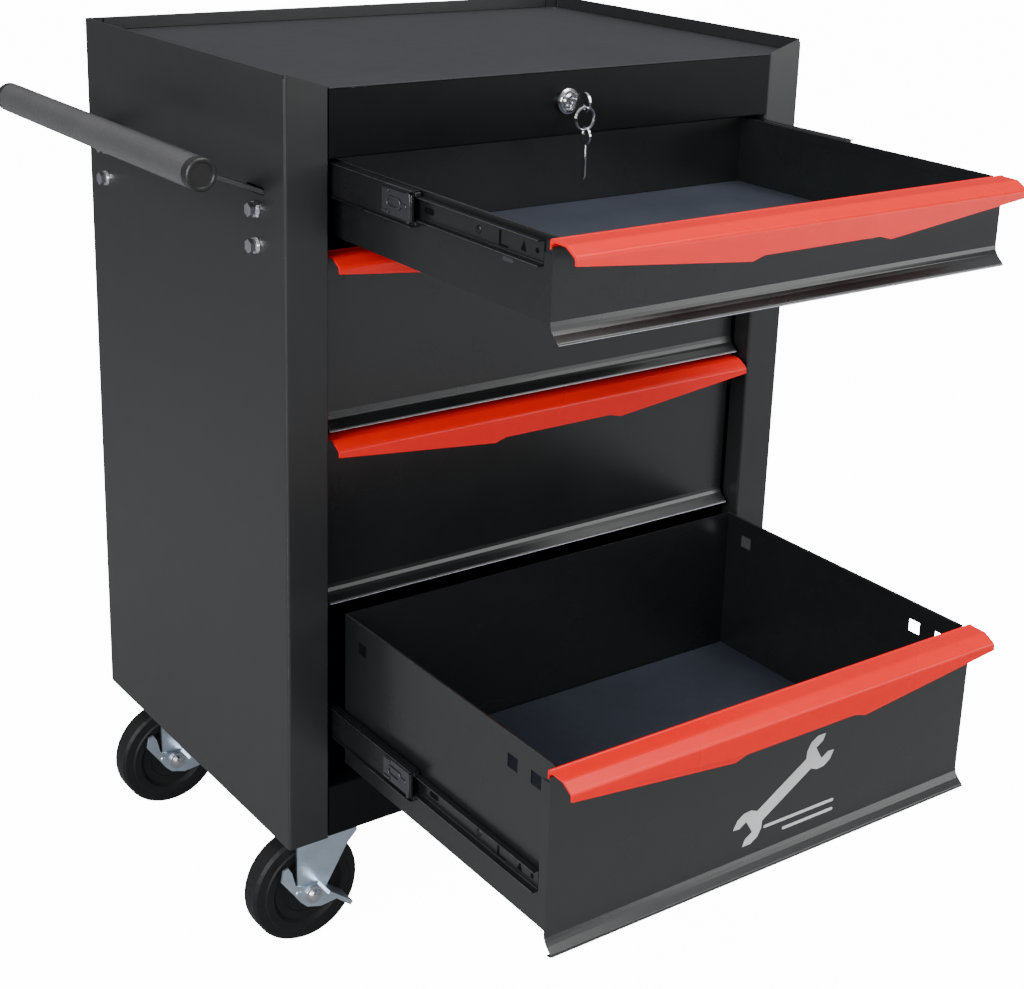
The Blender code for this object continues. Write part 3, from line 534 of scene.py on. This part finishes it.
def studio_surface(tree, near, far_strength, output):
    """One look for the camera and a darker one for what the object reflects."""
    mix = tree.nodes.new("ShaderNodeMixShader")
    tree.links.new(tree.nodes.new("ShaderNodeLightPath").outputs["Is Camera Ray"], mix.inputs[0])
    tree.links.new(far_strength, mix.inputs[1])
    tree.links.new(near, mix.inputs[2])
    tree.links.new(mix.outputs[0], output.inputs["Surface"])


floor_mat = bpy.data.materials.new("floor_white")
floor_mat.use_nodes = True
tree = floor_mat.node_tree
tree.nodes.remove(tree.nodes["Principled BSDF"])
seen, dim = tree.nodes.new("ShaderNodeBsdfDiffuse"), tree.nodes.new("ShaderNodeBsdfDiffuse")
seen.inputs["Color"].default_value = (0.92, 0.92, 0.92, 1)
dim.inputs["Color"].default_value = (0.36, 0.37, 0.385, 1)
glow, both = tree.nodes.new("ShaderNodeEmission"), tree.nodes.new("ShaderNodeAddShader")
glow.inputs["Strength"].default_value = FLOOR_GLOW
tree.links.new(seen.outputs[0], both.inputs[0])
tree.links.new(glow.outputs[0], both.inputs[1])
studio_surface(tree, both.outputs[0], dim.outputs[0], tree.nodes["Material Output"])
floor_mesh = bpy.data.meshes.new("floor")
floor_mesh.from_pydata([(-30, -30, 0), (30, -30, 0), (30, 30, 0), (-30, 30, 0)], [], [(0, 1, 2, 3)])
floor_mesh.materials.append(floor_mat)
floor = bpy.data.objects.new("floor", floor_mesh)
bpy.context.scene.collection.objects.link(floor)

world = bpy.data.worlds.new("studio")
world.use_nodes = True
tree = world.node_tree
around, plain = tree.nodes["Background"], tree.nodes.new("ShaderNodeBackground")
plain.inputs["Strength"].default_value = FLOOR_GLOW + 0.6
height = tree.nodes.new("ShaderNodeSeparateXYZ")
tree.links.new(tree.nodes.new("ShaderNodeTexCoord").outputs["Generated"], height.inputs[0])
fade = two_tone(tree, height.outputs["Z"], (0.14, 0.14, 0.15), (0.58, 0.58, 0.59))
tree.links.new(fade, around.inputs["Color"])
around.inputs["Strength"].default_value = 1.0
studio_surface(tree, plain.outputs[0], around.outputs[0], tree.nodes["World Output"])
bpy.context.scene.world = world


def lamp(name, spot, target, size, power):
    """A soft square light aimed at a point."""
    data = bpy.data.lights.new(name, "AREA")
    data.shape = "SQUARE"
    data.size = size
    data.energy = power
    thing = bpy.data.objects.new(name, data)
    thing.location = spot
    thing.rotation_mode = "QUATERNION"
    thing.rotation_quaternion = (Vector(target) - Vector(spot)).to_track_quat("-Z", "Y")
    bpy.context.scene.collection.objects.link(thing)
    return thing


lamp("key_above", (0.6, -0.9, 2.4), (0, 0, 0.4), 1.5, 44)
lamp("side_left", (-2.2, -0.6, 1.4), (0, 0, 0.4), 1.4, 58)
lamp("front_right", (1.9, -2.2, 1.0), (0.1, -0.1, 0.35), 1.4, 25)
lamp("front_left", (-1.7, -2.3, 1.1), (0, -0.2, 0.35), 1.2, 26)

CAMERA = {"az": -36.068, "el": 17.734, "roll": 1.833, "dist": 1484.4, "tx": 209.4, "tz": 381.6, "f": 1812.0,
          "shift_x": 0.0, "shift_y": -0.1235}


def photo_camera(c):
    """A camera aimed by angles at a point of the cabinet's front plane."""
    a, e, r = (math.radians(c[k]) for k in ("az", "el", "roll"))
    ahead = Vector((math.sin(-a) * math.cos(e), math.cos(a) * math.cos(e), -math.sin(e)))
    right = Vector((math.cos(a), -math.sin(-a), 0.0))
    up = right.cross(ahead)
    right, up = math.cos(r) * right + math.sin(r) * up, -math.sin(r) * right + math.cos(r) * up
    data = bpy.data.cameras.new("camera")
    data.sensor_width = 36.0
    data.lens = c["f"] / 1024 * 36.0
    data.shift_x = c["shift_x"]
    data.shift_y = c["shift_y"]
    data.clip_start, data.clip_end = 0.05, 100
    thing = bpy.data.objects.new("camera", data)
    spot = place(c["tx"], 0, c["tz"]) - ahead * (c["dist"] / 1000)
    thing.matrix_world = Matrix((
        (right.x, up.x, -ahead.x, spot.x),
        (right.y, up.y, -ahead.y, spot.y),
        (right.z, up.z, -ahead.z, spot.z),
        (0, 0, 0, 1),
    ))
    bpy.context.scene.collection.objects.link(thing)
    bpy.context.scene.camera = thing


photo_camera(CAMERA)
